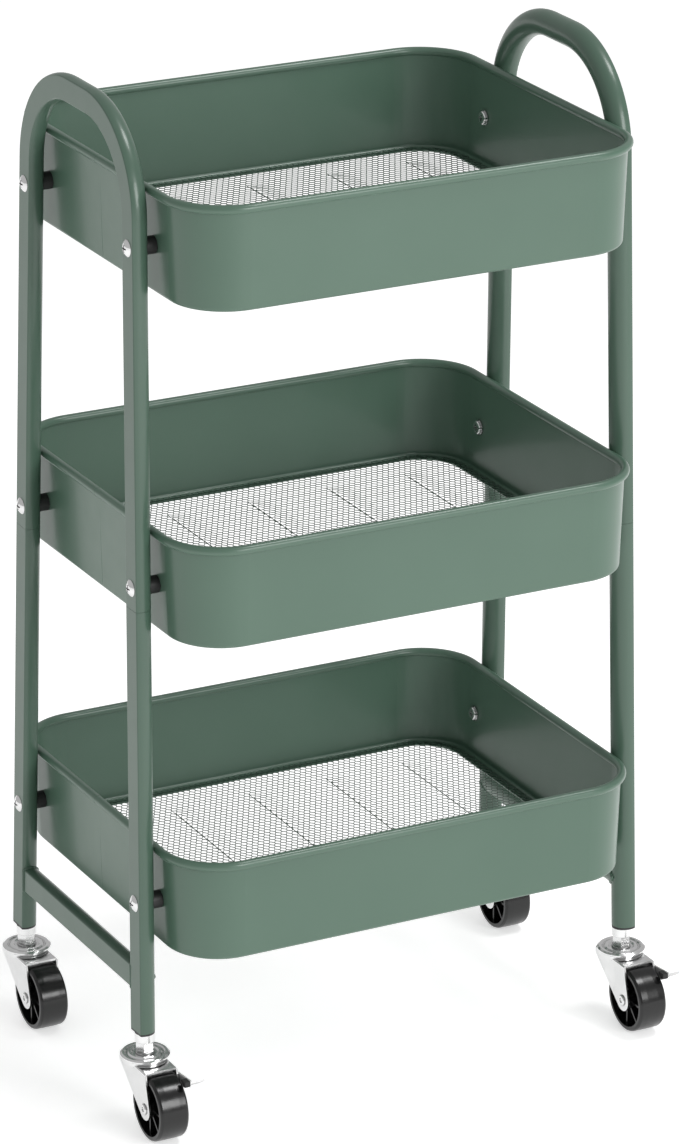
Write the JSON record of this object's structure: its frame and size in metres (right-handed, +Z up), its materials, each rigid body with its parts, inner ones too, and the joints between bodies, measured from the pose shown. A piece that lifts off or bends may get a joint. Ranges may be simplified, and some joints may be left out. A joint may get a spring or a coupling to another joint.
{
  "type": "rolling utility cart",
  "caption": "Rolling utility cart: two bent-tube end frames with handles carry mesh-floored sheet-steel baskets on swivel castors with front brakes.",
  "frame": {"origin": "centre of the cart's whole footprint at floor level, under the middle of its bounding box, with the castors trailing to the front", "axes": "+Z up, +X along the baskets' long side towards the right end frame, +Y across the cart towards its rear"},
  "size_m": [0.4442, 0.313, 0.7597],
  "materials": {
    "frame_paint": "satin powder coat, sage green",
    "basket_paint": "satin powder coat, sage green",
    "mesh_paint": "satin powder coat, sage green",
    "chrome_screws": "bright plated",
    "plain_steel": "plain drawn tube",
    "zinc": "bright zinc plate",
    "lever_zinc": "zinc plate",
    "black_plastic": "moulded black plastic",
    "wheel_plastic": "glossy moulded black plastic",
    "black_rubber": "matte black rubber"
  },
  "bodies": {
    "cart": {"left_upper_frame": "frame_paint", "left_crossbar": "frame_paint", "lower_post_front_left": "frame_paint", "lower_post_rear_left": "frame_paint", "right_upper_frame": "frame_paint", "right_crossbar": "frame_paint", "lower_post_front_right": "frame_paint", "lower_post_rear_right": "frame_paint", "top_basket": "basket_paint", "top_mesh_floor": "mesh_paint", "top_screws": "chrome_screws", "top_sleeve_nuts": "chrome_screws", "top_spacers": "black_plastic", "middle_basket": "basket_paint", "middle_mesh_floor": "mesh_paint", "middle_screws": "chrome_screws", "middle_sleeve_nuts": "chrome_screws", "middle_spacers": "black_plastic", "bottom_basket": "basket_paint", "bottom_mesh_floor": "mesh_paint", "bottom_screws": "chrome_screws", "bottom_sleeve_nuts": "chrome_screws", "bottom_spacers": "black_plastic", "frame_joint_sleeves": "plain_steel", "post_end_plugs": "black_plastic", "castor_stems": "zinc", "castor_raceway_caps": "zinc"},
    "castor_front_left": {"castor_fork_front_left": "zinc", "castor_axle_front_left": "zinc", "brake_pin_front_left": "zinc"},
    "wheel_front_left": {"castor_wheel_front_left": "wheel_plastic"},
    "brake_front_left": {"brake_lever_front_left": "lever_zinc", "brake_shoe_front_left": "black_rubber"},
    "castor_rear_left": {"castor_fork_rear_left": "zinc", "castor_axle_rear_left": "zinc"},
    "wheel_rear_left": {"castor_wheel_rear_left": "wheel_plastic"},
    "castor_front_right": {"castor_fork_front_right": "zinc", "castor_axle_front_right": "zinc", "brake_pin_front_right": "zinc"},
    "wheel_front_right": {"castor_wheel_front_right": "wheel_plastic"},
    "brake_front_right": {"brake_lever_front_right": "lever_zinc", "brake_shoe_front_right": "black_rubber"},
    "castor_rear_right": {"castor_fork_rear_right": "zinc", "castor_axle_rear_right": "zinc"},
    "wheel_rear_right": {"castor_wheel_rear_right": "wheel_plastic"}
  },
  "joints": [
    {"name": "swivel_front_left", "type": "hinge", "parent": "cart", "child": "castor_front_left", "pos_m": [-0.20383, -0.10419, 0.054], "axis": [0, 0, 1], "continuous": true},
    {"name": "roll_front_left", "type": "hinge", "parent": "castor_front_left", "child": "wheel_front_left", "pos_m": [-0.20383, -0.13019, 0.025], "axis": [1, 0, 0], "continuous": true},
    {"name": "brake_front_left", "type": "hinge", "parent": "castor_front_left", "child": "brake_front_left", "pos_m": [-0.20383, -0.12319, 0.043], "axis": [1, 0, 0], "range_deg": [0, 7]},
    {"name": "swivel_rear_left", "type": "hinge", "parent": "cart", "child": "castor_rear_left", "pos_m": [-0.20383, 0.10419, 0.054], "axis": [0, 0, 1], "continuous": true},
    {"name": "roll_rear_left", "type": "hinge", "parent": "castor_rear_left", "child": "wheel_rear_left", "pos_m": [-0.20383, 0.07819, 0.025], "axis": [1, 0, 0], "continuous": true},
    {"name": "swivel_front_right", "type": "hinge", "parent": "cart", "child": "castor_front_right", "pos_m": [0.19663, -0.10419, 0.054], "axis": [0, 0, 1], "continuous": true},
    {"name": "roll_front_right", "type": "hinge", "parent": "castor_front_right", "child": "wheel_front_right", "pos_m": [0.19663, -0.13019, 0.025], "axis": [1, 0, 0], "continuous": true},
    {"name": "brake_front_right", "type": "hinge", "parent": "castor_front_right", "child": "brake_front_right", "pos_m": [0.19663, -0.12319, 0.043], "axis": [1, 0, 0], "range_deg": [0, 7]},
    {"name": "swivel_rear_right", "type": "hinge", "parent": "cart", "child": "castor_rear_right", "pos_m": [0.19663, 0.10419, 0.054], "axis": [0, 0, 1], "continuous": true},
    {"name": "roll_rear_right", "type": "hinge", "parent": "castor_rear_right", "child": "wheel_rear_right", "pos_m": [0.19663, 0.07819, 0.025], "axis": [1, 0, 0], "continuous": true}
  ]
}
